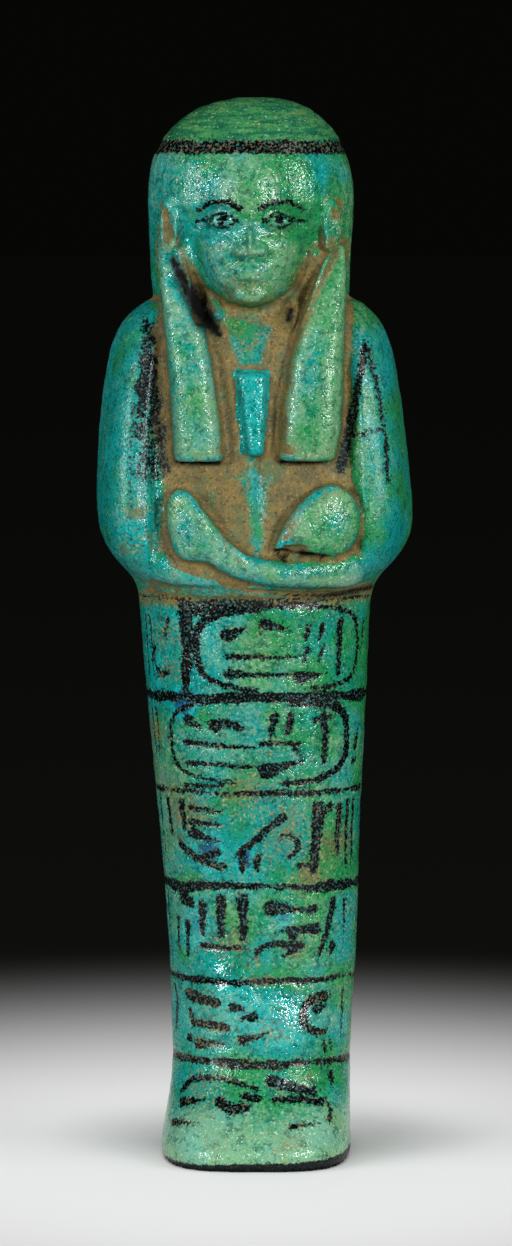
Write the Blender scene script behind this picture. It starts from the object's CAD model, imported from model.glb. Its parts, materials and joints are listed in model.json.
import bpy
import json
import math
import numpy as np
from mathutils import Matrix, Vector, noise

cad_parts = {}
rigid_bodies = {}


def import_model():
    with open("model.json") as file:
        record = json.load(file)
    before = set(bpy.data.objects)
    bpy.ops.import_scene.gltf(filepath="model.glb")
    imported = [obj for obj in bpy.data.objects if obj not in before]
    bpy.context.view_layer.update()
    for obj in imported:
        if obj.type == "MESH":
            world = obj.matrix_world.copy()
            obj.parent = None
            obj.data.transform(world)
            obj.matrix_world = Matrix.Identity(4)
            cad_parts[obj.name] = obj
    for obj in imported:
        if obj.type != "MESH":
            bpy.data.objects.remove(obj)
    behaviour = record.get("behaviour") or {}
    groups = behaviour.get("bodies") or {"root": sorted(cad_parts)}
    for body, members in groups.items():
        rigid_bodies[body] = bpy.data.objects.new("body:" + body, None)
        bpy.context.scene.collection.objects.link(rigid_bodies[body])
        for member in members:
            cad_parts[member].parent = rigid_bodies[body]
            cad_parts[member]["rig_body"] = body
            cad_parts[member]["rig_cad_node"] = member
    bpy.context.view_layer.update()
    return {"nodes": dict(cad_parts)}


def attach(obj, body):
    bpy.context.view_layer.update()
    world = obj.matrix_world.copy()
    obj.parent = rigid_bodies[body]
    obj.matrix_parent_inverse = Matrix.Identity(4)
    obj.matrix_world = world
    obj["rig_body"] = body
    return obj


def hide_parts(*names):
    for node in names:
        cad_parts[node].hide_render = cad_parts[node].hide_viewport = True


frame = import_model()


# ---- The moulded body --------------------------------------------------------------------------
# The whole figure is one pressing of wet quartz paste from an open mould: wig, face, lappets, crossed
# arms, wrapped legs and foot. Its edges came soft from the mould and the glaze softened them further.

MM = 0.001  # the figure is shaped in millimetres and brought to metres at the end
FACET = 0.36
PRESS_SOFTNESS = 4  # rounds of smoothing
HEAD_X = -0.6  # the head stands a little to the left. Left and right are as seen from the front
CHIN_Z, HAIRLINE_Z = 93.0, 109.5
THIRD = (HAIRLINE_Z - CHIN_Z) / 3  # the face is three equal thirds, from chin to nose, brow and hairline
NOSE_Z = CHIN_Z + THIRD
BROW_Z = NOSE_Z + THIRD
EAR_X, EAR_Y = 8.75, -6.35  # from the head's middle to an ear's, and how far forward it lies
EAR_RIM_RADIUS, EAR_RIM_THICK = 0.95, 0.3
EAR_TALL = 2.35  # times as tall as the ring it starts from


def only(thing):
    """Leaves one object selected and active."""
    bpy.ops.object.select_all(action="DESELECT")
    thing.select_set(True)
    bpy.context.view_layer.objects.active = thing


def keep_modifier(thing, kind, **settings):
    only(thing)
    modifier = thing.modifiers.new(kind.lower(), kind)
    for name, value in settings.items():
        setattr(modifier, name, value)
    bpy.ops.object.modifier_apply(modifier=modifier.name)


moulded = frame["nodes"]["ushabti_figurine"]
only(moulded)
bpy.ops.object.duplicate()
figure = bpy.context.object
figure.name = "glazed_ushabti"
figure.data.name = "glazed_ushabti"
figure.parent = None
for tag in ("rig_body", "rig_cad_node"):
    if tag in figure:
        del figure[tag]
figure.data.materials.clear()
figure.data.transform(Matrix.Scale(1 / MM, 4))
only(figure)
bpy.ops.object.mode_set(mode="EDIT")
bpy.ops.mesh.select_all(action="SELECT")
bpy.ops.mesh.remove_doubles(threshold=0.001)
bpy.ops.object.mode_set(mode="OBJECT")

# Each ear gets its rolled rim: a flattened ring set on the ear, turned a little to the front.
ear_rims = []
for side in (-1, 1):
    bpy.ops.object.select_all(action="DESELECT")
    bpy.ops.mesh.primitive_torus_add(
        location=(HEAD_X + side * EAR_X, EAR_Y, (BROW_Z + NOSE_Z) / 2 + 0.2),
        rotation=(math.radians(90), 0, side * math.radians(40)),
        major_radius=EAR_RIM_RADIUS, minor_radius=EAR_RIM_THICK, major_segments=28, minor_segments=8,
    )
    rim = bpy.context.object
    bpy.ops.object.transform_apply(location=False, rotation=True, scale=False)
    bpy.ops.transform.resize(value=(1.05, 1, EAR_TALL))
    bpy.ops.object.transform_apply(location=True, rotation=True, scale=True)
    ear_rims.append(rim)
only(figure)
for rim in ear_rims:
    rim.select_set(True)
bpy.ops.object.join()

keep_modifier(figure, "REMESH", mode="VOXEL", voxel_size=FACET, adaptivity=0)
keep_modifier(figure, "SMOOTH", factor=0.5, iterations=PRESS_SOFTNESS)


# ---- Relief of the surface ---------------------------------------------------------------------
# Where the paste was pressed, the surface is never quite even. The face's features were finished in
# the mould, a modelling tool left cuts under the lappets and arms, and the right fist lost a flake.

EDGE_CRISPNESS = 0.8  # how much of the mould's own sharpness the remeshed edges get back
EYE_Z = BROW_Z - 1.9
MOUTH_Z = NOSE_Z - THIRD / 3
EYE_APART = 3.04  # from the face's middle to an eye's
FACE_Z, FACE_HALF = 102.0, 10.5  # the middle of the face, and how far its finish reaches up and down
LEG_TOP_Z = 61.5
SWELL_WIDE, SWELL_HIGH = 13.0, 0.14  # the unevenness of the pressing, from its slowest to its finest
RIPPLE_WIDE, RIPPLE_HIGH = 3.2, 0.06
GRIT_WIDE, GRIT_HIGH = 1.15, 0.055
SHINS = ((3.6, 16.8), (-4.3, 20.0))  # the x and z of the smoothest and shiniest place on each shin
FLAKE_DEEP, CRACK_DEEP = 0.55, 0.7
PASTE_SEED = 11
noise.seed_set(PASTE_SEED)  # the same lumps and stains every time


def read_points():
    flat = np.empty(len(figure.data.vertices) * 3)
    figure.data.vertices.foreach_get("co", flat)
    return flat.reshape(-1, 3)


def read_normals():
    flat = np.empty(len(figure.data.vertices) * 3)
    figure.data.vertex_normals.foreach_get("vector", flat)
    return flat.reshape(-1, 3)


def write_points(points):
    figure.data.vertices.foreach_set("co", points.ravel())
    figure.data.update()


def wander(points, size):
    """Three smooth random fields, about -1 to 1, with features of that size in mm. Points moved
    elsewhere give other fields."""
    return np.array([noise.noise_vector(Vector(p)) for p in points / size])


def blurred(values, times):
    """Each value averaged with its neighbours' over the surface, so many times."""
    ends = np.empty(len(figure.data.edges) * 2, dtype=np.int32)
    figure.data.edges.foreach_get("vertices", ends)
    one, other = ends[0::2], ends[1::2]
    count = len(values)
    degree = np.bincount(one, minlength=count) + np.bincount(other, minlength=count)
    columns = np.atleast_2d(values.T).copy()
    for _ in range(times):
        for column in columns:
            total = np.bincount(one, column[other], count) + np.bincount(other, column[one], count)
            column += 0.6 * (total / degree - column)
    return columns.T if values.ndim > 1 else columns[0]


def along(p, q, path):
    """Distance in mm from each point to a path of (p, q) points, and the share of the path there."""
    nearest = np.full(len(p), 1e3)
    share = np.zeros(len(p))
    steps = len(path) - 1
    for i in range(steps):
        (a, b), (c, d) = path[i], path[i + 1]
        run, rise = c - a, d - b
        t = np.clip(((p - a) * run + (q - b) * rise) / (run * run + rise * rise + 1e-9), 0, 1)
        apart = np.hypot(p - a - t * run, q - b - t * rise)
        closer = apart < nearest
        nearest[closer] = apart[closer]
        share[closer] = (i + t[closer]) / steps
    return nearest, share


def arc(centre_p, centre_q, half_p, half_q, start, end, steps=12, square=2.0):
    """A path along part of an oval, squarer above 2. Angles in degrees, anticlockwise from the right."""
    path = []
    for i in range(steps + 1):
        turn = math.radians(start + (end - start) * i / steps)
        c, s = math.cos(turn), math.sin(turn)
        across, up = (math.copysign(abs(v) ** (2 / square), v) for v in (c, s))
        path.append((centre_p + half_p * across, centre_q + half_q * up))
    return path


def soft(distance, reach):
    """1 at no distance, falling smoothly to 0 at that reach."""
    t = np.clip(1 - distance / reach, 0, 1)
    return t * t * (3 - 2 * t)


points = read_points()
raised = points - blurred(points, 10)
rounded = blurred(points, 45)
x, y, z = points.T
arms_and_legs = np.maximum(soft(12.3 - np.abs(x), 1.2), soft(z - LEG_TOP_Z + 3.0, 1.5)) * soft(3.2 - z, 1.2)
back_of_arms = soft(1.0 - y, 2.0) * soft(np.abs(z - 76), 12)
plain = np.maximum(arms_and_legs, back_of_arms)[:, None]  # 1 where the surface has no edges of its own
sharp = points + EDGE_CRISPNESS * raised
points = sharp + plain * (rounded - sharp)
write_points(points)
normals = read_normals()
x, y, z = points.T
facing = soft(y + 2.5, 3.0)  # 1 on the front half
lift = np.zeros(len(points))

# The face: eye sockets, brows, lids, cheeks, the line between the lips and the hollow under them, in
# soft low relief.
in_face = facing * soft(np.abs(z - FACE_Z), FACE_HALF)
for side in (-1, 1):
    eye_x = HEAD_X + side * EYE_APART
    socket = np.hypot((x - eye_x) / 2.3, (z - EYE_Z - 0.1) / 1.35)
    lift -= 0.34 * soft(np.abs(socket - 0.95), 0.75) * in_face
    brow, _ = along(x, z, arc(eye_x, EYE_Z - 0.6, 2.4, 2.55, 35, 145))
    lift += 0.22 * soft(brow, 0.8) * in_face
    for lid_high, strength in ((0.8, 0.16), (-0.62, 0.1)):
        lid = [(eye_x + 1.6 * t, EYE_Z + lid_high * (1 - t * t)) for t in np.linspace(-1, 1, 9)]
        lift += strength * soft(along(x, z, lid)[0], 0.42) * in_face
    cheek = np.hypot((x - HEAD_X - side * 4.3) / 2.2, (z - NOSE_Z - 0.7) / 2)
    lift += 0.2 * soft(cheek, 1.2) * in_face
    fold, _ = along(x, z, [(HEAD_X + side * 1.95, NOSE_Z + 0.6), (HEAD_X + side * 2.7, MOUTH_Z + 0.3)])
    lift -= 0.12 * soft(fold, 0.7) * in_face
mouth = [(HEAD_X - 1.9, MOUTH_Z + 0.05), (HEAD_X, MOUTH_Z - 0.08), (HEAD_X + 1.9, MOUTH_Z + 0.05)]
lift -= 0.26 * soft(along(x, z, mouth)[0], 0.36) * in_face
under_lip, _ = along(x, z, [(HEAD_X - 1.1, MOUTH_Z - 1.15), (HEAD_X + 1.1, MOUTH_Z - 1.15)])
lift -= 0.2 * soft(under_lip, 0.6) * in_face
philtrum, _ = along(x, z, [(HEAD_X, NOSE_Z - 0.2), (HEAD_X, MOUTH_Z + 0.8)])
lift -= 0.1 * soft(philtrum, 0.4) * in_face

# Uneven pressing: slow swells over the body, and grit that lies flatter on the head and the shins.
swell = wander(points, SWELL_WIDE)
ripple = wander(points + 40.0, RIPPLE_WIDE)
grit = wander(points + 90.0, GRIT_WIDE)
even = 0.5 * soft(np.abs(z - FACE_Z), FACE_HALF)
for shin_x, shin_z in SHINS:
    even = np.maximum(even, 0.75 * soft(np.hypot(x - shin_x, (z - shin_z) / 1.3) - 1.0, 3.0) * facing)
lift += SWELL_HIGH * swell[:, 0] + RIPPLE_HIGH * ripple[:, 0] + GRIT_HIGH * grit[:, 0] * (1 - even)

# The flake lost from the right fist's lower edge, and the crack that runs below it.
flake = np.hypot((x - 4.2) / 2.4, (z - 67.1) / 0.95) + 0.25 * ripple[:, 1]
lift -= FLAKE_DEEP * soft(flake, 1.15) * facing
crack, _ = along(x, z + 0.3 * ripple[:, 2], [(2.0, 66.9), (4.0, 66.3), (6.0, 66.5), (7.6, 66.2)])
lift -= CRACK_DEEP * soft(crack, 0.42) * facing

# The deep hollow beside the chin, and the modelling tool's cuts under the lappets and the arms.
for cut, reach, depth in (
    ([(-8.2, 96.0), (-6.9, 93.6), (-5.8, 91.8)], 1.3, 0.7),
    ([(-5.9, 92.2), (-4.6, 90.8)], 0.9, 0.5),
    ([(-8.6, 76.2), (-4.0, 76.2)], 0.4, 0.25),
    ([(2.8, 76.2), (8.0, 76.3)], 0.4, 0.25),
    ([(-1.0, 62.6), (4.0, 62.2), (8.5, 62.0), (12.4, 62.3)], 0.5, 0.28),
):
    lift -= depth * soft(along(x, z, cut)[0], reach) * facing
points = points + normals * lift[:, None]

# Paste left between the face and the wig, and the round of each shin above the instep: the left one
# stands out higher up and further than the right.
forward = 1.5 * soft(along(x, z, [(3.6, 91.6), (5.1, 94.8), (7.0, 98.3)])[0], 1.8)
forward += 1.0 * soft(along(x, z, [(-7.8, 99.0), (-5.8, 95.2), (-4.2, 92.2)])[0], 1.3)
roundest_z = 16.3 - 2.0 * np.clip((x - 0.6) / 3, -1, 1)
shin_rise = 0.5 + 0.45 * np.clip((0.6 - x) / 3, 0, 1)
forward += shin_rise * soft(np.abs(z - roundest_z), 5.5) * soft(np.abs(x - 0.6) - 4.0, 5.0)
points[:, 1] -= forward * facing
write_points(points)


# ---- Painted marks ------------------------------------------------------------------------------
# A thin manganese slip brushed on before glazing: a fillet round the wig, brows and eyes, the tools
# over the shoulders, and bands of short strokes round the wrappings. It bled and speckled in the kiln.

BRUSH_LOAD = 1.1  # how much wider the slip spread than the brush
SLIP_DEEP = 0.07  # how far the marks lie below the glaze round them
UNMARKED = 9.0  # further than any mark reaches
paint = np.full(len(points), UNMARKED)  # mm to the nearest edge of a mark, negative inside it
rust = np.zeros(len(points))  # how brown that mark is

x, y, z = points.T
normals = read_normals()
facing = soft(y + 1.5, 2.5)


def round_the_legs():
    """How far round the wrapped body each point lies from the front middle, in mm."""
    share = np.clip((z - 10.5) / 51, 0, 1)
    half = 9.8 + 2.95 * share**1.25
    depth = np.interp(z, [0, 6, 10.5, 14, 20, 28, 60], [14, 11.4, 9, 8.6, 8.1, 8.6, 9.6])
    middle = np.interp(z, [0, 10, 28, 48, 61], [0, 0.6, 0.7, 0.1, -0.15])
    turn = np.arctan2((x - middle) / half, -y / np.where(y < 0, depth, 9))
    return turn * (half + 9) / 2 + middle


hand = wander(points + 17.0, 5.0)  # the unsteadiness of the brush
shake = wander(points + 61.0, 1.6)
round_u = round_the_legs() + 0.16 * hand[:, 0] + 0.09 * shake[:, 0]
round_z = z + 0.16 * hand[:, 1] + 0.09 * shake[:, 1]
front_x = x + 0.12 * hand[:, 0] + 0.07 * shake[:, 0]
front_z = z + 0.12 * hand[:, 1] + 0.07 * shake[:, 1]
on_legs = z < LEG_TOP_Z + 0.4
on_front = y < -1.0


def brush(p, q, allowed, path, start_width, end_width=None, brown=0.15, strength=UNMARKED):
    """One stroke of the brush along a path, widths in mm. A low strength leaves a broken, dry stroke."""
    end_width = start_width if end_width is None else end_width
    spots = np.where(allowed)[0]
    ps, qs = np.array(path).T
    spots = spots[(p[spots] > ps.min() - 3) & (p[spots] < ps.max() + 3)]
    spots = spots[(q[spots] > qs.min() - 3) & (q[spots] < qs.max() + 3)]
    apart, share = along(p[spots], q[spots], path)
    edge = apart - 0.5 * BRUSH_LOAD * (start_width + (end_width - start_width) * share)
    closer = edge < paint[spots]
    paint[spots[closer]] = np.maximum(edge, -strength)[closer]
    rust[spots[closer]] = brown


def on_wrap(path, *widths, brown=0.15):
    brush(round_u, round_z, on_legs, path, *widths, brown=brown)


def on_front_side(path, *widths, brown=0.15, strength=UNMARKED):
    brush(front_x, front_z, on_front, path, *widths, brown=brown, strength=strength)


def upright(u, z_top, z_low, width, lean=0.0, brown=0.15):
    on_wrap([(u + lean, z_top), (u, z_low)], width, width * 0.6, brown=brown)


def uprights(u, z_top, z_low, count, step, width, lean=0.0, brown=0.15):
    """Upright strokes side by side."""
    for k in range(count):
        upright(u + k * step, z_top, z_low, width, lean, brown)


def level_stroke(u_left, u_right, at, width):
    on_wrap([(u_left, at), (u_right, at - 0.15)], width, width * 0.55)


def wedge(u, at, length, width, turn=0.0, brown=0.15):
    """A pressed stroke, fat at its start and pointed at its end."""
    a = math.radians(turn)
    on_wrap([(u, at), (u + length * math.cos(a), at + length * math.sin(a))], width, 0.1, brown=brown)


def hook(u, at, wide, tall, start, end, width, brown=0.15):
    on_wrap(arc(u, at, wide, tall, start, end), width, width * 0.6, brown=brown)


def mark(edge, brown, allowed=True, deepest=-UNMARKED):
    """A mark given by the distance to its edge. A shallow one is left broken and dry."""
    closer = (edge < paint) & allowed
    paint[closer] = np.maximum(edge, deepest)[closer]
    rust[closer] = brown


# The dividing lines thin out round the sides, and the back has none.
back_fade = 0.7 * soft(21 - np.abs(round_u), 8)
sag = -0.5 * (round_u / 16) ** 2 + 0.25 * hand[:, 2]
pressure = 1 + 0.5 * shake[:, 2] + 0.5 * hand[:, 1]
for line_z, width, brown in (
    (61.6, 0.25, 0.2), (50.9, 0.95, 0.1), (40.5, 0.55, 0.3),
    (30.1, 1.0, 0.15), (19.8, 0.65, 0.15), (10.9, 0.95, 0.35),
):
    mark(np.abs(round_z - line_z - sag) - width / 2 * pressure + back_fade, brown, on_legs)

# First band: a thick upright, then a long rounded frame with short strokes within it.
on_wrap(arc(2.8, 56.2, 8.5, 4.5, 100, 258, 26, square=3.0), 0.95, 0.5)
on_wrap(arc(2.8, 56.2, 8.5, 4.5, -80, 84, 26, square=3.0), 0.5, 0.5)
on_wrap([(-6.6, 60.3), (-3.4, 60.9), (-0.4, 60.8), (5.5, 61.0)], 1.6, 0.3, brown=0.3)
on_wrap([(-6.7, 60.6), (-6.6, 56.5), (-6.9, 51.4)], 1.45, 0.8)
wedge(-2.7, 57.7, 2.2, 1.35, 25)
wedge(0.9, 58.9, 2.5, 1.2, -14)
for at in (55.4, 53.45):
    level_stroke(-2.6, 3.6, at, 0.62)
wedge(-2.5, 53.5, 2.4, 1.1, 3)
uprights(4.5, 58.6, 57.2, 2, 1.5, 0.55, lean=0.3)
uprights(4.4, 56.2, 54.8, 2, 1.7, 0.5, lean=0.35)
wedge(4.2, 53.0, 2.5, 1.35, 10)
upright(8.2, 59.0, 53.2, 0.75, lean=0.15)
upright(-9.2, 59.3, 57.0, 0.5, lean=0.4, brown=0.6)
hook(-9.8, 55.0, 1.5, 1.7, 150, 300, 0.6, brown=0.4)
on_wrap([(-10.4, 53.0), (-8.9, 53.4)], 0.6, 0.4, brown=0.5)
uprights(-12.9, 59.2, 52.8, 2, 1.3, 0.35, lean=-0.3, brown=0.3)
wedge(12.6, 58.6, 3.2, 0.5, -95)

# Second band: a wider rounded frame, thick at its right end, with level and slanting strokes.
on_wrap(arc(0.5, 46.1, 9.4, 4.5, 96, 262, 26, square=3.0), 0.55, 0.35)
on_wrap(arc(0.5, 46.1, 9.2, 4.5, -84, 78, 26, square=3.0), 0.55, 1.15)
on_wrap([(-3.4, 50.5), (1.2, 50.9), (6.3, 50.8)], 0.5, 0.9)
on_wrap([(-7.2, 41.0), (-3.2, 41.2)], 0.6, 0.35, brown=0.4)
wedge(-6.6, 48.3, 1.9, 1.2, -28)
on_wrap([(-3.7, 47.9), (-2.6, 48.2), (-1.2, 47.6)], 1.3, 0.5)
for at in (45.8, 43.6):
    level_stroke(-7.0, -0.2, at, 0.6)
uprights(1.4, 48.9, 46.9, 2, 1.6, 0.75, lean=0.3)
level_stroke(0.6, 4.4, 46.0, 0.6)
wedge(3.6, 45.3, 2.0, 0.55, -60)
wedge(1.0, 43.0, 3.7, 1.5, 14)
on_wrap([(6.7, 48.6), (6.9, 46.8), (6.7, 43.6)], 0.95, 0.45)
on_wrap([(5.6, 48.3), (7.7, 48.6)], 0.5, 0.4)
uprights(-12.6, 49.2, 44.0, 2, 1.3, 0.4, lean=-0.4)
wedge(11.3, 45.0, 2.6, 0.8, 75)
wedge(11.0, 43.4, 1.6, 0.6, 20)

# Third band: tall strokes at both ends and loose slanting ones between them.
upright(-9.6, 39.2, 35.6, 0.65, lean=-0.5)
upright(-7.4, 39.0, 36.3, 0.8, lean=-0.4)
for at in (38.6, 37.1):
    level_stroke(-6.6, -3.6, at, 0.65)
wedge(-6.4, 35.9, 3.2, 1.15, -14)
on_wrap([(-8.2, 34.6), (-6.4, 33.3), (-3.4, 32.3)], 0.75, 0.85, brown=0.35)
wedge(-4.0, 33.9, 2.6, 1.0, 200)
on_wrap([(-1.6, 33.9), (0.4, 35.8), (2.6, 37.9)], 0.6, 0.85)
uprights(-1.3, 33.4, 31.9, 2, 1.5, 0.75)
hook(3.0, 34.7, 1.3, 1.3, -70, 110, 0.55)
on_wrap([(6.1, 38.9), (6.2, 36.2), (5.9, 31.8)], 1.3, 0.9, brown=0.3)
wedge(7.6, 38.8, 2.0, 0.9, 225)
wedge(4.6, 32.4, 1.5, 0.7, 10, brown=0.3)
upright(8.9, 38.6, 33.6, 0.95, brown=0.45)
uprights(10.3, 39.0, 32.0, 2, 1.3, 0.6, brown=0.3)
upright(-12.0, 38.9, 33.4, 0.4, lean=-0.4)

# Fourth band: thick uprights over a level stroke, and two long pressed strokes.
on_wrap([(-8.3, 28.6), (-7.2, 28.1)], 1.5, 1.1)
upright(-9.4, 26.2, 22.9, 0.55)
upright(-7.8, 25.9, 22.4, 0.7)
upright(-5.7, 28.2, 24.9, 0.9, brown=0.3)
upright(-3.6, 28.7, 24.7, 1.05)
upright(-1.3, 28.8, 24.4, 1.1)
level_stroke(-5.8, -0.6, 23.5, 0.7)
wedge(1.7, 27.8, 3.0, 1.6, -2, brown=0.3)
wedge(5.9, 27.6, 2.0, 1.1, 182, brown=0.3)
wedge(6.2, 25.4, 4.4, 1.15, 182)
wedge(3.6, 25.3, 1.6, 1.2, -70)
hook(2.3, 22.3, 2.2, 1.6, 30, 178, 0.8)
wedge(4.6, 23.6, 2.2, 0.9, 215)
on_wrap([(8.4, 28.4), (7.7, 25.4), (6.6, 22.6)], 0.85, 0.5)
on_wrap([(8.3, 23.6), (8.2, 22.8)], 0.8, 0.7)
upright(10.3, 28.4, 24.6, 0.45)
upright(-12.0, 28.6, 23.4, 0.45, lean=-0.3)

# Fifth band: fat level dabs with brown grains in them, and a large hooked stroke.
on_wrap([(-7.7, 18.0), (-5.6, 17.6), (-3.9, 17.4)], 1.3, 1.1, brown=0.45)
on_wrap([(-7.5, 16.2), (-7.2, 15.0), (-3.2, 14.6)], 0.55, 0.95, brown=0.5)
on_wrap([(-7.8, 13.3), (-7.6, 12.9)], 0.85, 0.7)
wedge(-6.4, 12.7, 3.4, 1.2, 2, brown=0.6)
wedge(-2.1, 17.0, 1.6, 1.0, -8)
wedge(-0.2, 15.9, 1.7, 0.9, 190)
wedge(-1.5, 13.4, 3.3, 0.95, 18, brown=0.5)
hook(7.0, 15.9, 2.2, 1.9, 75, 285, 1.1, brown=0.4)
wedge(6.4, 16.5, 1.6, 0.9, 12)
on_wrap([(-11.0, 18.6), (-10.4, 16.6), (-10.9, 14.0)], 0.6, 0.5)
uprights(7.6, 12.9, 11.7, 2, 0.9, 0.4, lean=-0.3)
upright(10.4, 18.2, 13.0, 0.4)

# On the instep: one long curved stroke and scattered dabs above the toes.
on_wrap([(-8.6, 7.6), (-7.2, 8.9), (-3.6, 9.3), (0.2, 8.2)], 0.6, 0.4)
wedge(-8.2, 6.4, 3.0, 0.9, 14, brown=0.3)
wedge(-9.0, 4.3, 3.4, 0.75, 8, brown=0.5)
on_wrap([(-3.7, 6.9), (-2.6, 6.3), (-1.0, 6.5)], 1.2, 0.8, brown=0.35)
on_wrap([(-1.4, 7.5), (0.2, 7.3)], 0.7, 0.7)
on_wrap([(1.7, 9.0), (3.6, 8.4), (6.2, 7.8)], 1.3, 0.7)
on_wrap([(1.9, 7.2), (4.7, 7.2), (6.9, 6.7)], 0.5, 0.7)
hook(6.8, 5.9, 1.0, 1.1, -50, 100, 0.55, brown=0.45)
wedge(3.4, 4.6, 2.6, 0.45, 6, brown=0.3)
wedge(8.4, 9.2, 1.4, 0.8, -80)

# The dark line along the foot's lower edge, where glaze and slip ran down and gathered.
mark(z - (0.95 + 0.035 * x + 0.06 * hand[:, 0]), -0.25)

# Fillet round the wig, its knot and two tails at the back.
fillet_z = 110.0 - 0.045 * (y + 8) + 0.1 * hand[:, 0]
mark(np.abs(z - fillet_z) - 0.72 * (1 + 0.2 * shake[:, 0]), 0.42, z > 104)
at_back = y > 3
for side in (-1, 1):
    tail = [(HEAD_X + side * 0.3, 109.2), (HEAD_X + side * 1.1, 104.5), (HEAD_X + side * 1.5, 99.5)]
    brush(front_x, front_z, at_back, tail, 1.0, 0.6, brown=0.4)
    brush(front_x, front_z, at_back, arc(HEAD_X + side * 1.3, 109.4, 1.3, 0.9, 0, 360), 0.6, brown=0.4)

# Brows, eye outlines and pupils.
for side in (-1, 1):
    eye_x = HEAD_X + side * EYE_APART
    brow_bend = ((-2.0, -0.45), (-0.6, 0.3), (1.2, 0.15), (2.6, -0.75))
    brow = [(eye_x + side * out, BROW_Z + up) for out, up in brow_bend]
    on_front_side(brow, 0.62, 0.4, brown=0.3)
    upper = [(eye_x + side * 1.7 * t, EYE_Z + 0.05 + 0.85 * (1 - t * t)) for t in np.linspace(-1, 1, 9)]
    on_front_side(upper + [(eye_x + side * 2.8, EYE_Z - 0.15)], 0.36, 0.34)
    lower = [(px, 2 * EYE_Z - pz + 0.25) for px, pz in upper]
    on_front_side(lower, 0.26, 0.28)
    on_front_side([(eye_x, EYE_Z + 0.25), (eye_x, EYE_Z + 0.05)], 0.85, 0.8)

# A hoe over each shoulder, in thin slip. The left one ran and was smeared while it was wet.
on_front_side([(11.7, 88.8), (10.5, 82.2), (9.6, 78.0), (9.1, 75.7)], 0.7, 1.05, strength=0.2)
on_front_side([(11.8, 88.8), (12.9, 85.0), (14.0, 79.0), (14.2, 74.2)], 0.55, 0.3, strength=0.1)
on_front_side([(10.3, 79.1), (13.3, 79.7)], 0.6, 0.4, strength=0.04)
on_front_side([(-12.9, 84.8), (-13.4, 78.0), (-13.5, 72.2)], 0.3, 0.2, brown=0.5, strength=0.0)
apart, share = along(front_x, front_z, [(-11.7, 91.0), (-11.6, 84.0), (-10.9, 75.6)])
smeared = apart - 0.5 - 1.2 * share + 0.5 * wander(points + 3.0, 0.8)[:, 0] + 0.5 * shake[:, 1]
mark(smeared, 0.0, on_front, deepest=-0.05 - 0.16 * soft(np.abs(86.0 - z), 6))

# The slip lies a hair below the glaze round it.
sunk = SLIP_DEEP * soft(paint + 0.1, 0.35) * (z > 1.2)
points = points - normals * sunk[:, None]
sole = (z < 0.35) & (normals[:, 2] < -0.6)
points[sole, 2] = 0.0
points[:, 2] = np.maximum(points[:, 2], 0)
write_points(points)


# ---- The glaze ----------------------------------------------------------------------------------
# Egyptian faience: a copper-blue alkaline glaze, gritty from the quartz under it. It pooled to clear
# turquoise at edges and thinned to pale green on high places, and grime from the ground fills the hollows.

near = blurred(points, 8)
far = blurred(points, 70)
normals = read_normals()
dip_near = ((near - points) * normals).sum(1)  # above 0 in a groove, below 0 on a ridge, in mm
dip_far = ((far - points) * normals).sum(1)
x, y, z = points.T
facing = soft(y + 2.0, 3.0)

stain = wander(points + 7.0, 4.0)
fleck = wander(points + 29.0, 1.3)
cloud = wander(points + 51.0, 9.0)

# Grime: packed into the chest between lappets and hands, the neck's sides, under the arms and ears.
grime = soft(0.55 - dip_far, 0.75) * 0.75 + soft(0.12 - dip_near, 0.16) * 0.5
face_oval = np.hypot((x - HEAD_X) / 8.6, (z - 102.2) / 9.6)
grime *= 1 - 0.85 * soft(face_oval - 0.85, 0.15) * facing
packed_hollows = [
    ([(-9.3, 100.0), (-7.4, 97.0), (-5.6, 93.6), (-3.9, 90.5), (-3.0, 87.0)], 1.1),
    ([(-3.0, 87.0), (-2.6, 83.0), (-2.4, 78.5)], 1.6),
    ([(7.4, 98.8), (5.2, 94.6), (3.4, 90.5), (2.2, 86.5), (1.8, 78.5)], 1.9),
    ([(-9.2, 75.2), (-6.0, 75.0), (-3.2, 73.0), (-1.8, 69.5)], 2.6),
    ([(9.0, 75.3), (5.6, 75.0), (3.0, 73.2), (1.9, 69.5)], 2.5),
    ([(-3.0, 76.5), (3.0, 76.5)], 2.2),
    ([(-10.4, 73.5), (-10.2, 69.5), (-8.8, 65.4), (-4.5, 64.2), (-1.5, 63.2)], 0.6),
    ([(-10.8, 90.5), (-10.3, 84.0), (-9.6, 77.5)], 0.6),
    ([(9.9, 99.6), (10.1, 91.0)], 0.4),
    ([(-9.9, 103.5), (-9.6, 101.5), (-9.2, 99.8), (-8.4, 98.6)], 0.6),
    ([(8.9, 104.0), (8.6, 102.5)], 0.4),
    ([(3.0, 67.1), (4.6, 66.9)], 1.0),
]
for path, reach in packed_hollows:
    apart, _ = along(x, z, path)
    grime = np.maximum(grime, 1.05 * soft(apart + 0.35 * stain[:, 0], reach * 1.5) * soft(y + 4, 4))
ridge, _ = along(x, z, [(-0.4, 77.0), (0.0, 72.0), (0.1, 66.8)])
grime *= 1 - 0.65 * soft(ridge + 0.5 * stain[:, 1] + 0.3 * fleck[:, 1], 1.5) * facing
for u, level, wide, high in ((-8.9, 94.5, 1.3, 5.5), (-11.5, 72.0, 1.6, 8.0), (11.3, 80.0, 1.3, 9.0)):
    clean = np.hypot((x - u) / wide, (z - level) / high) + 0.15 * stain[:, 1]
    grime *= 1 - 0.8 * soft(clean - 0.7, 0.5) * facing
neck = np.hypot((x + 1.0) / (0.9 + 0.42 * (z - 87.6).clip(0)), (z - 91.5) / 4.2)
grime = np.maximum(grime, 0.5 * soft(neck - 0.7, 0.8) * facing)
grime *= 1 - 0.35 * soft(neck + 0.5 * stain[:, 1] + 0.3 * fleck[:, 1] - 0.5, 0.7) * facing
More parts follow.
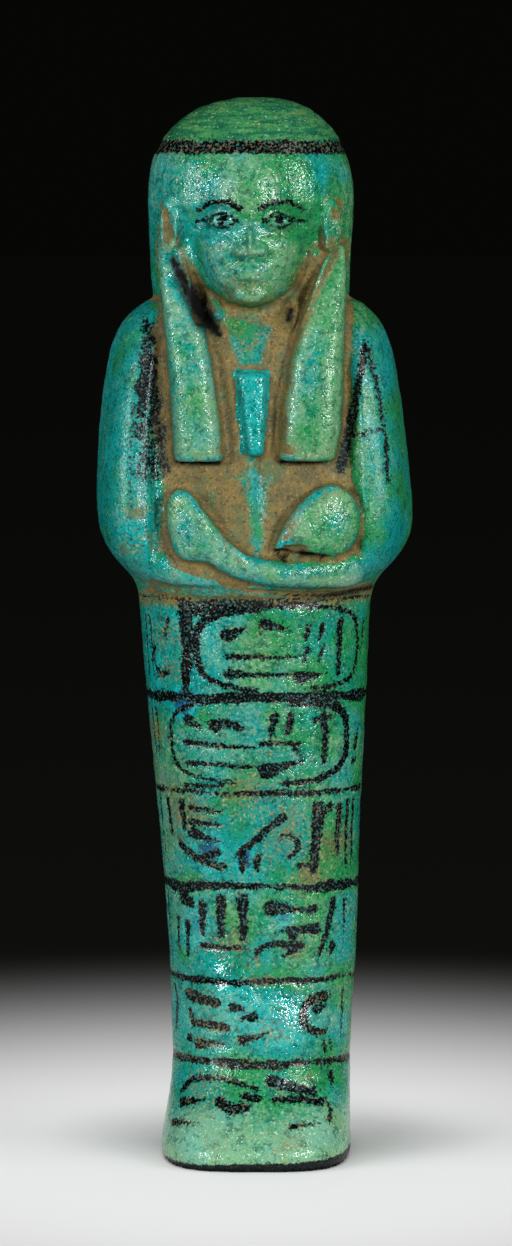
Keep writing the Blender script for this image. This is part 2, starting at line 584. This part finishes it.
tab = (np.abs(x + 0.4) < 1.2 + 0.09 * (z - 77)) & (z > 77.2) & (z < 86.2) & (y < -8)
grime[tab] = 0
for u, level, size in (
    (-12.6, 71.0, 1.6), (-11.6, 67.8, 2.4), (-14.0, 67.0, 1.6),
    (-13.0, 86.0, 0.9), (-1.4, 66.4, 1.3), (-3.2, 68.4, 0.6),
):
    blot = np.hypot(x - u, z - level) / size + 0.5 * stain[:, 0] + 0.3 * fleck[:, 1]
    grime = np.maximum(grime, 0.5 * soft(blot, 1.5) * facing)
apart, _ = along(x, z, [(-12.5, 61.2), (0.0, 61.6), (12.6, 61.7)])
grime = np.maximum(grime, 0.62 * soft(apart + 0.4 * stain[:, 0], 1.9) * facing)
for u, level, size in (
    (-9.2, 57.6, 3.4), (-8.8, 53.5, 2.2), (-11.3, 46.5, 3.0), (-10.8, 41.5, 3.4), (0.2, 41.0, 3.8),
    (-7.6, 38.0, 3.0), (3.0, 36.0, 3.4), (8.4, 34.5, 2.6), (5.5, 31.2, 2.4), (-2.5, 24.0, 2.6),
    (4.0, 23.5, 2.0), (1.5, 14.2, 2.4), (-6.0, 8.0, 3.0), (-4.5, 2.6, 2.2), (3.5, 3.4, 2.6),
):
    grime = np.maximum(grime, 0.4 * soft(np.hypot(x - u, z - level), size * 1.8) * facing)
grime += 0.09 * soft(np.abs(z - 32.0), 18.0) * facing  # crumbs all over the middle of the legs
edge_run = np.clip((-dip_near - 0.05) * 10, 0, 1)  # on raised edges grime wore off the turquoise glaze
for u, level, reach in ((3.7, 92.0, 1.6), (-7.7, 98.3, 3.2), (-4.5, 93.5, 1.8)):  # but not beside the chin
    edge_run *= 1 - soft(np.hypot(x - u, z - level) - 0.4 * reach, 0.6 * reach) * facing
grime = np.clip((grime + 0.16 * stain[:, 2]) * (1 - 0.85 * edge_run), 0, 1)

# Clear turquoise where the glaze ran thick, pale green where it thinned on the crests.
pool = 0.48 - 0.016 * x + 0.33 * cloud[:, 0] + 0.45 * stain[:, 1] + 2.2 * np.clip(dip_near, -0.05, 0.12)
pool += 0.3 * soft(np.abs(dip_far + 0.25), 0.35)
pool += 0.5 * edge_run
for lappet in ([(-6.4, 78.5), (-7.2, 92.0)], [(5.8, 78.5), (7.2, 88.0), (8.4, 96.0)]):
    pool -= 0.2 * soft(along(x, z, lappet)[0], 2.6) * facing
below_arms = soft(z - LEG_TOP_Z + 3.5, 6)
pool -= 0.03 * below_arms
pool[tab] = 1.05
pool -= 0.4 * soft(8.5 - x, 1.5) * soft(93 - z, 4)  # the wig's right side is green
crest = 0.25 + 1.35 * np.clip(-dip_far, 0, 0.6) + 0.35 * cloud[:, 1] + 0.2 * fleck[:, 0]
crest += 0.04 * below_arms
in_face = soft(face_oval - 0.8, 0.3) * facing
crest += 0.06 * in_face
pool -= 0.36 * in_face * np.clip((x + 7) / 6, 0, 1)
crest -= 0.45 * edge_run
crest[tab] = 0.3
crest -= 0.6 * soft(ridge, 1.6) * facing
fist_rim, _ = along(x, z, [(7.6, 74.0), (5.0, 72.3), (3.6, 70.2), (3.0, 68.4)])
pool += 0.8 * soft(fist_rim + 0.4 * stain[:, 1], 1.3) * facing
crest -= 0.5 * soft(fist_rim + 0.4 * stain[:, 1], 1.3) * facing
pool -= 0.4 * soft(neck - 0.5, 0.8) * facing
crest += 0.5 * soft(np.abs(z - 3.6), 5.0) * facing
crown = soft(110.9 + 0.3 * stain[:, 1] - z, 0.8)
for u, level, size in (
    (-6.4, 25.6, 2.6), (-5.2, 33.9, 2.0), (-1.2, 33.4, 1.4), (3.0, 27.0, 1.2), (-7.8, 50.0, 1.6),
):
    spot = np.hypot(x - u, (z - level) * 0.7) / size + 0.35 * stain[:, 2]
    pool += 1.1 * soft(spot, 1.2) * facing
pool += 0.45 * soft(np.hypot((x - 1.0) / 1.6, z - 16.0) + 0.8 * stain[:, 0] - 1.5, 4.0) * facing
on_arms = soft(13.0 - np.abs(x), 2.5) * soft(LEG_TOP_Z - 0.5 - z, 4)
crest -= 0.3 * on_arms
pool += np.where(x > 0, 0.12, -0.1) * on_arms
worn = np.where(x > 0, 1.6, 1.2) * on_arms  # the arms' glaze has lost its shine
for shin_x, shin_z in SHINS:  # and the shins' has kept it best
    worn -= 0.8 * soft(np.hypot(x - shin_x, (z - shin_z) / 1.5), 4.0) * facing
worn += 1.8 * soft(ridge, 1.5) * facing

# Soot-dark dirt deep in the neck beside the left lappet, in the creases and under the arms.
soot = np.zeros(len(points))
for path, first_reach, last_reach in (
    ([(-8.8, 97.8), (-7.6, 95.2), (-6.3, 93.0), (-5.4, 91.6)], 0.9, 2.3),
    ([(-5.4, 91.6), (-3.9, 89.9)], 2.1, 0.5),
    ([(3.7, 92.5), (3.5, 91.6)], 0.85, 0.85),
    ([(-8.6, 76.3), (-4.0, 76.3)], 0.15, 0.42),
    ([(2.7, 76.4), (8.0, 76.4)], 0.38, 0.15),
    ([(4.9, 66.9), (6.0, 66.5), (7.3, 66.5)], 0.65, 0.45),
    ([(2.2, 66.9), (3.0, 66.1)], 0.4, 0.45),
    ([(1.8, 62.2), (7.5, 61.9), (12.4, 62.2)], 0.2, 0.6),
):
    apart, share = along(x, z, path)
    reach = first_reach + (last_reach - first_reach) * share
    soot = np.maximum(soot, 1.1 * soft(apart + 0.12 * stain[:, 1], reach) * facing)

figure.data.transform(Matrix.Scale(MM, 4))
kept_on_mesh = {
    "paint_edge": paint,
    "paint_rust": rust,
    "grime": grime,
    "glaze_pool": np.clip(pool, 0, 2),
    "glaze_thin": np.clip(crest, 0, 1),
    "crown": crown,
    "soot": soot,
    "worn": worn,
}
for name, values in kept_on_mesh.items():
    layer = figure.data.attributes.new(name, "FLOAT", "POINT")
    layer.data.foreach_set("value", values.astype(np.float32))


def colour(code):
    """An sRGB hex value as linear RGBA."""
    parts = [int(code[i : i + 2], 16) / 255 for i in (1, 3, 5)]
    return [*(c / 12.92 if c <= 0.04045 else ((c + 0.055) / 1.055) ** 2.4 for c in parts), 1.0]


def add(tree, kind, sockets, gives=0, **settings):
    """One node with its settings, each socket given a value or a link. Returns the output named."""
    node = tree.nodes.new("ShaderNode" + kind)
    for name, value in settings.items():
        setattr(node, name, value)
    for name, value in sockets.items():
        if isinstance(value, bpy.types.NodeSocket):
            tree.links.new(value, node.inputs[name])
        else:
            node.inputs[name].default_value = value
    return node.outputs[gives]


def coats(tree, ground, *layers):
    """Colours laid one over another, each as far as its own share goes. A colour is hex or a socket."""
    for share, over in layers:
        under = colour(ground) if isinstance(ground, str) else ground
        over = colour(over) if isinstance(over, str) else over
        ground = add(tree, "Mix", {0: share, 6: under, 7: over}, 2, data_type="RGBA")
    return ground


# Faience under a fired alkaline glaze: glassy on its crests, gritty and matt wherever dirt filled it.
glaze = bpy.data.materials.new("faience_alkaline_glazed")
glaze.use_nodes = True
tree = glaze.node_tree
shader = tree.nodes["Principled BSDF"]
place = add(tree, "TexCoord", {}, "Object")
apart_place = add(tree, "VectorMath", {0: place, 1: (0.03, 0.01, 0.02)}, operation="ADD")
wiping = {"Vector": place, "Scale": (0.12, 0.12, 1.0), "Rotation": (0.05, 0.08, 0.0)}
wiped_place = add(tree, "Mapping", wiping)

# The sizes are in mm. Real quartz grit is nearer 0.1 mm: sand and crystal are drawn coarser, to show at all.
cloudy = {}
for name, where, size, detail, roughness in (
    ("mottle", place, 2.6, 3.0, 0.55),
    ("clod", place, 1.6, 3.0, 0.6),
    ("blotch", place, 1.1, 4.0, 0.75),
    ("speck", place, 0.5, 2.0, 0.7),
    ("sand", place, 0.27, 1.0, 0.5),
    ("crystal", apart_place, 0.3, 1.0, 0.5),
    ("streak", wiped_place, 0.45, 3.0, 0.6),
):
    sockets = {"Vector": where, "Scale": 1 / (size * MM), "Detail": detail, "Roughness": roughness}
    cloudy[name] = add(tree, "TexNoise", sockets)
mottle, speck, sand, crystal = (cloudy[name] for name in ("mottle", "speck", "sand", "crystal"))
mesh_value = {name: add(tree, "Attribute", {}, "Fac", attribute_name=name) for name in kept_on_mesh}


def shaken(value, by, amount):
    """A value made uneven by a noise round its middle, so that its edge is speckled and not drawn."""
    value = add(tree, "Math", {0: by, 1: amount, 2: value}, operation="MULTIPLY_ADD")
    return add(tree, "Math", {0: value, 1: -amount / 2}, operation="ADD")


# Where each coat lies: what it follows, the value at which it begins and is full, and its most there.
cover = {}
for name, follows, begins, full, most in (
    ("pooled", shaken(mesh_value["glaze_pool"], mottle, 1.0), 0.25, 0.85, 1.0),
    ("gathered", shaken(mesh_value["glaze_pool"], speck, 0.4), 0.85, 1.1, 1.0),
    ("deep_run", shaken(mesh_value["glaze_pool"], speck, 0.8), 1.2, 1.6, 1.0),
    ("thinned", shaken(mesh_value["glaze_thin"], speck, 1.3), 0.25, 1.0, 0.6),
    ("crown", shaken(mesh_value["crown"], mottle, 0.5), 0.2, 0.8, 1.0),
    ("streak", cloudy["streak"], 0.38, 0.62, 1.0),
    ("dry_streak", cloudy["streak"], 0.58, 0.74, 1.0),
    ("blotch", cloudy["blotch"], 0.5, 0.36, 0.6),
    ("pit", sand, 0.44, 0.3, 0.6),
    ("golden", crystal, 0.54, 0.66, 0.75),
    ("near_grime", shaken(mesh_value["grime"], mottle, 1.0), 0.12, 0.4, 1.0),
    ("pale_grain", crystal, 0.61, 0.76, 0.7),
    ("grime", shaken(mesh_value["grime"], speck, 0.7), 0.24, 0.74, 1.0),
    ("sandy_clay", cloudy["clod"], 0.4, 0.62, 1.0),
    ("green_clay", mottle, 0.5, 0.68, 0.7),
    ("clay_pit", sand, 0.44, 0.32, 0.55),
    ("clay_crumb", crystal, 0.6, 0.74, 0.4),
    ("inked", shaken(shaken(mesh_value["paint_edge"], speck, 0.7), sand, 0.35), 0.08, -0.1, 1.0),
    ("spatter", shaken(mesh_value["paint_edge"], crystal, 4.5), -0.3, -0.7, 0.8),
    ("brown_slip", shaken(mesh_value["paint_rust"], crystal, 2.4), 0.5, 0.85, 1.0),
    ("slip_gap", sand, 0.54, 0.66, 1.0),
):
    sockets = {"Value": follows, "From Min": begins, "From Max": full, "To Max": most}
    cover[name] = add(tree, "MapRange", sockets, interpolation_type="SMOOTHSTEP")

# Fewer pits show where the glaze is thin, golden grains lie near grime, and pale ones in thin glaze. The
# heavy slip at the foot's edge lets hardly any glaze through.
for name, follows, low, high, at_low, at_high in (
    ("pits_open", "glaze_thin", 0.3, 1.0, 1.0, 0.35),
    ("slip_thin", "paint_rust", -0.3, 0.0, 0.1, 0.6),
):
    sockets = {"From Min": low, "From Max": high, "To Min": at_low, "To Max": at_high}
    sockets["Value"] = mesh_value[follows]
    cover[name] = add(tree, "MapRange", sockets, interpolation_type="SMOOTHSTEP")
for name, held_by in (
    ("pit", cover["pits_open"]),
    ("golden", cover["near_grime"]),
    ("pale_grain", mesh_value["glaze_thin"]),
    ("slip_gap", cover["slip_thin"]),
):
    cover[name] = add(tree, "Math", {0: cover[name], 1: held_by}, operation="MULTIPLY")
soot_edge = {"Value": shaken(mesh_value["soot"], speck, 0.9), "From Min": 0.05, "From Max": 0.95}
cover["soot"] = add(tree, "MapRange", soot_edge)
cover["marked"] = add(tree, "Math", {0: cover["inked"], 1: cover["spatter"]}, operation="MAXIMUM")

# Over the crown the glaze was wiped on with a brush and its streaks stayed.
streaked = coats(tree, "#1d6d48", (cover["streak"], "#478a55"), (cover["dry_streak"], "#6f8148"))
# Burial grime: brown clay packed smooth in the hollows, breaking up into crumbs at its edge.
clay = coats(
    tree, "#665f3d", (cover["sandy_clay"], "#7e6d3f"), (cover["green_clay"], "#4f6e4a"),
    (cover["clay_pit"], "#3a3020"), (cover["clay_crumb"], "#b89a5c"),
)
# The slip: black with a speckled edge, browner where it was thin, with glaze grains showing through.
slip = coats(tree, "#07090c", (cover["brown_slip"], "#6e5b42"), (cover["slip_gap"], "#3d7a72"))
# The clear body, green where thin over the paste, turquoise where it gathered and cobalt in the deepest
# runs. Then the quartz grit in it, dark stain and pits between pale grains, and what lies on it.
body = coats(
    tree, "#25854f", (cover["pooled"], "#0b8d88"), (cover["gathered"], "#149f9c"),
    (cover["deep_run"], "#1d5f7c"), (cover["thinned"], "#90b08c"), (cover["crown"], streaked),
    (cover["blotch"], "#0b4f46"), (cover["pit"], "#0c3d34"), (cover["golden"], "#8f8a4a"),
    (cover["pale_grain"], "#c4dcc0"), (cover["grime"], clay), (cover["soot"], "#0d0b0a"),
    (cover["marked"], slip),
)
tree.links.new(body, shader.inputs["Base Color"])

# Glossy glaze, less so over slip, on the wiped crown, on worn arms and in soot, and matt over grime.
dull = 0.0
for value, amount in ((cover["inked"], 0.5), (mesh_value["crown"], 1.0), (cover["grime"], 2.0)):
    dulled = add(tree, "Math", {0: value, 1: amount}, operation="MULTIPLY")
    dull = add(tree, "Math", {0: dull, 1: dulled}, operation="MAXIMUM")
glossy = {"Value": speck, "From Min": 0.35, "From Max": 0.7, "To Min": 0.1, "To Max": 0.36}
rough = add(tree, "MapRange", glossy)
for value, amount in (
    (dull, 0.22), (cover["soot"], 0.6), (mesh_value["worn"], 0.14), (cover["pooled"], -0.05),
):
    rough = add(tree, "Math", {0: value, 1: amount, 2: rough}, operation="MULTIPLY_ADD")
rough = add(tree, "Math", {0: rough, 1: 0.07}, operation="MAXIMUM")
tree.links.new(rough, shader.inputs["Roughness"])
shader.inputs["IOR"].default_value = 1.45

# The grit stands a tenth of a millimetre high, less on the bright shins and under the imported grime.
height = add(tree, "Math", {0: sand, 1: 0.7, 2: speck}, operation="MULTIPLY_ADD")
for value, low, high, at_low, at_high in (
    (mesh_value["worn"], -0.8, 0.0, 0.5, 1.0), (cover["grime"], 0.0, 1.0, 1.0, 0.35),
):
    sockets = {"Value": value, "From Min": low, "From Max": high, "To Min": at_low, "To Max": at_high}
    held_by = add(tree, "MapRange", sockets)
    height = add(tree, "Math", {0: height, 1: held_by}, operation="MULTIPLY")
bump = add(tree, "Bump", {"Strength": 0.9, "Distance": 0.1 * MM, "Height": height})
tree.links.new(bump, shader.inputs["Normal"])

figure.data.materials.append(glaze)
only(figure)
bpy.ops.object.shade_smooth()
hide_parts("ushabti_figurine")
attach(figure, "root")


# ---- Where it stands ----------------------------------------------------------------------------
# A sheet of graduated studio paper, pale round the figure and running into dark away from it, with a
# soft light on each side in front and others over the paper. None of this is part of the object.

SHEET_WIDE = 3.0
PALE_TO, DARK_FROM = 0.013, 0.143  # how far from its palest point the sheet stays pale and is dark
PALEST = (0, -0.01, 0)
bpy.ops.object.select_all(action="DESELECT")
bpy.ops.mesh.primitive_plane_add(size=SHEET_WIDE, location=(0, 0, 0))
table = bpy.context.object
table.name = "floor"

# Graduated paper, printed matt: it darkens evenly and reflects nothing, so the figure's shadow shows.
paper = bpy.data.materials.new("graduated_paper_matt")
paper.use_nodes = True
sheet = paper.node_tree
ground = add(sheet, "TexCoord", {}, "Object")
away = add(sheet, "VectorMath", {0: ground, 1: PALEST}, "Value", operation="DISTANCE")
fade_range = {"Value": away, "From Min": PALE_TO, "From Max": DARK_FROM}
fade = add(sheet, "MapRange", fade_range, interpolation_type="SMOOTHERSTEP")
matt = sheet.nodes["Principled BSDF"]
sheet.links.new(coats(sheet, "#e2e2e2", (fade, "#171815")), matt.inputs["Base Color"])
matt.inputs["Roughness"].default_value = 0.8
matt.inputs["IOR"].default_value = 1.0
table.data.materials.append(paper)

# The room is dark to look at and in reflections, and lends everything a soft even light.
scene = bpy.context.scene
world = bpy.data.worlds.new("dim_room")
world.use_nodes = True
room = world.node_tree
rays = {0: add(room, "LightPath", {}, "Is Camera Ray"), 1: add(room, "LightPath", {}, "Is Glossy Ray")}
unlit = add(room, "Math", rays, operation="MAXIMUM")
room.links.new(coats(room, "#b6b6b6", (unlit, "#0b0d09")), room.nodes["Background"].inputs["Color"])
scene.world = world
scene.view_settings.view_transform = "Standard"
scene.view_settings.look = "Medium High Contrast"

SOFTBOX_AWAY = 0.6


def seen_from(azimuth, elevation):
    """The direction that leads there from the figure. Azimuth 0 is in front of it and 90 to the right."""
    a, e = math.radians(azimuth), math.radians(elevation)
    return Vector((math.sin(a) * math.cos(e), -math.cos(a) * math.cos(e), math.sin(e)))


def softbox(name, azimuth, elevation, size, watts, lights_only):
    """An area light aimed at the figure's middle, with the one thing that it lights."""
    aim = Vector((0, 0, 0.06))
    place = aim + SOFTBOX_AWAY * seen_from(azimuth, elevation)
    light = bpy.data.lights.new(name, "AREA")
    light.shape = "RECTANGLE"
    light.size, light.size_y = size
    light.energy = watts
    lamp = bpy.data.objects.new(name, light)
    lamp.location = place
    lamp.rotation_euler = (aim - place).to_track_quat("-Z", "Y").to_euler()
    scene.collection.objects.link(lamp)
    lit = bpy.data.collections.new("lit_by_" + name)
    lit.objects.link(lights_only)
    lamp.light_linking.receiver_collection = lit


softbox("key_softbox", 34, 15, (0.09, 0.1), 2.3, figure)
softbox("fill_softbox", -44, 14, (0.09, 0.1), 1.6, figure)
softbox("table_softbox", -16, 84, (0.1, 0.08), 0.95, table)
softbox("table_softbox_left", -75, 36, (0.4, 0.25), 0.95, table)
softbox("table_softbox_right", 75, 36, (0.4, 0.25), 0.75, table)

# A long lens, a little above the figure and aimed at its middle.
CAMERA_AWAY, CAMERA_ELEVATION = 0.7, 7.0
aim = Vector((0, 0, 0.0579))
lens = bpy.data.cameras.new("camera")
lens.lens = 185.8
lens.sensor_width = 36.0
camera = bpy.data.objects.new("camera", lens)
camera.location = aim + CAMERA_AWAY * seen_from(0, CAMERA_ELEVATION)
camera.rotation_euler = (aim - camera.location).to_track_quat("-Z", "Y").to_euler()
scene.collection.objects.link(camera)
scene.camera = camera
